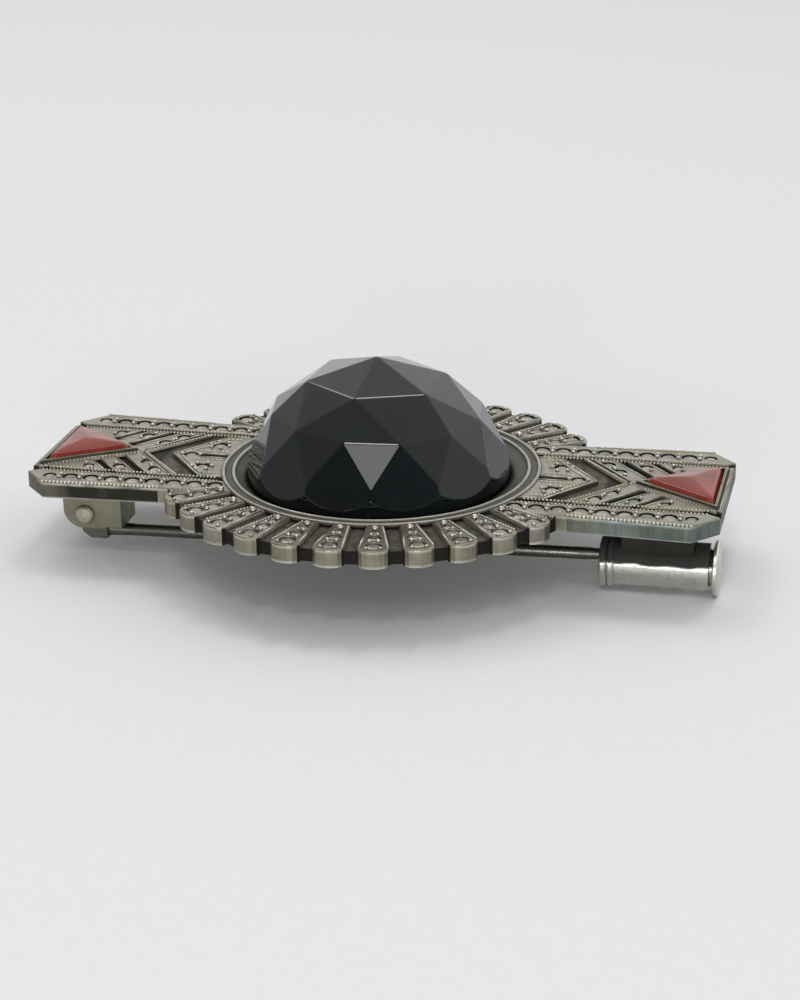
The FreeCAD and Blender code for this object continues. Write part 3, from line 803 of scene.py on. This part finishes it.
def rolled_line(centre_r, foot_z, half, rise):
    """Half-round section of one of the bezel's rolled lines, from its outer foot to its inner foot."""
    points = []
    for k in range(7):
        angle = math.pi * k / 6
        points.append((centre_r + half * math.cos(angle), foot_z + rise * math.sin(angle)))
    return points


def make_bezel():
    """Flange with two rolled lines and a hollow between them, and a cup that slopes in to the stone."""
    half, rise, foot_z = 0.16 * MM, 0.17 * MM, FACE_Z - 0.03 * MM
    outer_line = rolled_line(RING_R - half, foot_z, half, rise)
    inner_line = rolled_line(CUP_R + half, foot_z, half, rise)
    hollow_out, hollow_in = outer_line[-1][0], inner_line[0][0]
    hollow = [(hollow_in + (hollow_out - hollow_in) * t, foot_z - 0.07 * MM * math.sin(math.pi * t))
              for t in (0.75, 0.5, 0.25)]
    seat_r = STONE_R + 0.05 * MM
    wall = [(CUP_R + (seat_r - CUP_R) * t, foot_z - 0.62 * MM * t ** 0.8) for t in (0.12, 0.35, 0.65, 1.0)]
    profile = [(CUP_HOLE_R, bezel_low.z), (CUP_OUT_R, bezel_low.z), (CUP_OUT_R, FLOOR_Z), (RING_R, FLOOR_Z)]
    profile += outer_line + hollow + inner_line + wall
    profile += [(seat_r, stone_low.z), (CUP_HOLE_R, stone_low.z)]
    verts, faces = lathe(profile, 160)
    for vert in verts:
        # the seat is cut round the stone, which is a little off the middle
        share = (CUP_R - vert.xy.length) / (CUP_R - seat_r)
        if vert.z > stone_low.z - 0.1 * MM:
            vert.x += STONE_X * min(1.0, max(0.0, share))
    piece("bezel_ring", verts, faces, "bezel_silver", replaces=("centre_bezel",))


# ---- looks of the CAD nodes that stay -----------------------------------------------------------------
NODE_LOOK = {
    "face_plate": "oxidised_silver",
    "left_collet": "plain_silver", "right_collet": "plain_silver",
    "hinge_base": "plain_silver", "hinge_bracket": "plain_silver", "hinge_rivet": "rim_silver",
    "catch_base": "solder_and_shade_silver", "catch_tube": "bright_silver", "catch_entry_collar": "bright_silver",
    "catch_sleeve": "bright_silver", "thumb_disc": "disc_silver",
    "pin_knuckle": "pin_steel", "pin_wire": "pin_steel",
}
MARCASITE_NODES = [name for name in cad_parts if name.startswith("marcasites")]


def dress_nodes():
    """Materials of the CAD nodes, and smooth shading with sharp edges on the plate."""
    looks = dict(NODE_LOOK, **{node: "marcasite" for node in MARCASITE_NODES})
    for node, look in looks.items():
        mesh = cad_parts[node].data
        mesh.materials.clear()
        mesh.materials.append(MATERIALS[look])
    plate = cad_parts["face_plate"].data
    plate.polygons.foreach_set("use_smooth", [True] * len(plate.polygons))
    plate.set_sharp_from_angle(angle=math.radians(38))


# ---- set ----------------------------------------------------------------------------------------------
LAMP_DISTANCE = 0.6
LAMPS = (                # width and depth in metres, compass direction and height in degrees, watts
    ("main_lamp", 0.22, 0.22, 137, 56, 0.55),
    ("rear_lamp", 0.10, 0.13, 72, 71, 0.45),
    ("front_panel", 0.16, 0.12, -83, 42, 0.24),
    ("front_lamp", 0.10, 0.07, -85, 58, 0.34),
    ("low_lamp", 0.30, 0.05, -84, 11, 1.5),
)


def make_floor():
    bpy.ops.mesh.primitive_plane_add(size=6.0, location=(0, 0, 0))
    floor = bpy.context.object
    floor.name = "paper_floor"
    n = new_material("pale_paper")
    paper = n.mix(n.noise(900, 3.0), (0.655, 0.656, 0.66, 1), (0.69, 0.69, 0.693, 1))
    floor.data.materials.append(n.set(Base_Color=paper, Roughness=0.9))


def sky_place(azimuth, elevation, distance):
    """Point in a compass direction (degrees from +X) and at a height, seen from the brooch."""
    a, e = math.radians(azimuth), math.radians(elevation)
    return Vector((math.cos(a) * math.cos(e), math.sin(a) * math.cos(e), math.sin(e))) * distance


def make_lamp(name, width, depth, azimuth, elevation, power):
    data = bpy.data.lights.new(name, "AREA")
    data.shape = "RECTANGLE"
    data.size, data.size_y = width, depth
    data.energy = power
    lamp = bpy.data.objects.new(name, data)
    lamp.location = sky_place(azimuth, elevation, LAMP_DISTANCE)
    lamp.rotation_euler = (-lamp.location).to_track_quat("-Z", "Y").to_euler()
    bpy.context.collection.objects.link(lamp)


def make_room():
    """Bright room, lighter behind the brooch and dimmer low in front of it."""
    n = Nodes(bpy.data.worlds.new("soft_room"), "Background")

    def nearness(azimuth, elevation):
        """Cosine of the angle from one direction."""
        centre = sky_place(azimuth, elevation, 1.0)
        return n.vector_math("DOT_PRODUCT", n.places["Generated"], centre)["Value"]

    behind = n.span(nearness(66, 10), -0.3, 1.0, 0.50, 1.24)
    in_front = n.span(nearness(-84, 23), 0.64, 0.92, 1.0, 0.34)
    bpy.context.scene.world = n.set(Color=(0.98, 0.99, 1.0, 1), Strength=n.times(behind, in_front))


def make_camera():
    """Low three-quarter view from the front, a little towards the catch end."""
    yaw, pitch, roll = math.radians(13.22), math.radians(21.06), math.radians(-0.87)
    distance, across, above = 194.4 * MM, 1.50 * MM, -2.69 * MM
    back = Vector((math.sin(yaw) * math.cos(pitch), -math.cos(yaw) * math.cos(pitch), math.sin(pitch)))
    level = Vector((math.cos(yaw), math.sin(yaw), 0))
    upright = back.cross(level)
    right = math.cos(roll) * level + math.sin(roll) * upright
    up = math.cos(roll) * upright - math.sin(roll) * level
    camera = bpy.data.objects.new("camera", bpy.data.cameras.new("camera"))
    camera.matrix_world = Matrix((right, up, back)).transposed().to_4x4()
    camera.location = Vector((0, 0, FACE_Z)) + back * distance + right * across + up * above
    camera.data.lens = 86.4
    camera.data.clip_start = 0.01
    bpy.context.collection.objects.link(camera)
    bpy.context.scene.camera = camera


# ---- put it together ----------------------------------------------------------------------------------
bpy.context.scene.view_settings.view_transform = "Standard"
dress_nodes()
make_edge_grains()
make_milgrain()
make_rims()
make_prongs()
for marcasite_node in MARCASITE_NODES:
    make_marcasites(marcasite_node)
make_centre_stone()
make_bezel()
make_cabochon("left")
make_cabochon("right")
make_floor()
make_room()
for lamp_facts in LAMPS:
    make_lamp(*lamp_facts)
make_camera()
